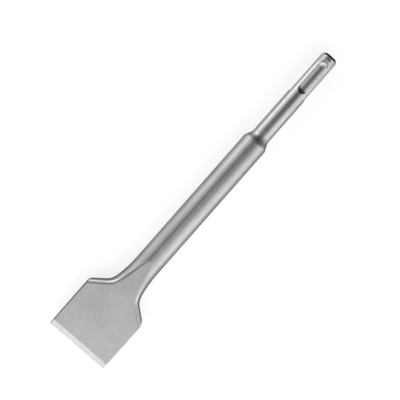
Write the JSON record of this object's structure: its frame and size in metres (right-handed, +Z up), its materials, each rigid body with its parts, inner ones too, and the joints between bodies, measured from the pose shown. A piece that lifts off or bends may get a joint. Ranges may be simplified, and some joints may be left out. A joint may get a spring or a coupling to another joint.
{
  "type": "hammer drill flat chisel",
  "caption": "Wide flat chisel bit for a hammer drill: slotted and grooved drive shank, round body, flared spade blade with a ground bevel.",
  "frame": {"origin": "on the resting surface, under the middle of the length and of the blade's width; the tool's axis runs 7 mm above it", "axes": "+X along the tool's axis from the cutting edge to the shank end, +Y across the blade, +Z up, square to the blade's middle plane"},
  "size_m": [0.2, 0.0364, 0.014],
  "materials": {
    "chisel": "satin"
  },
  "bodies": {
    "root": {"chisel": "chisel"}
  },
  "joints": []
}
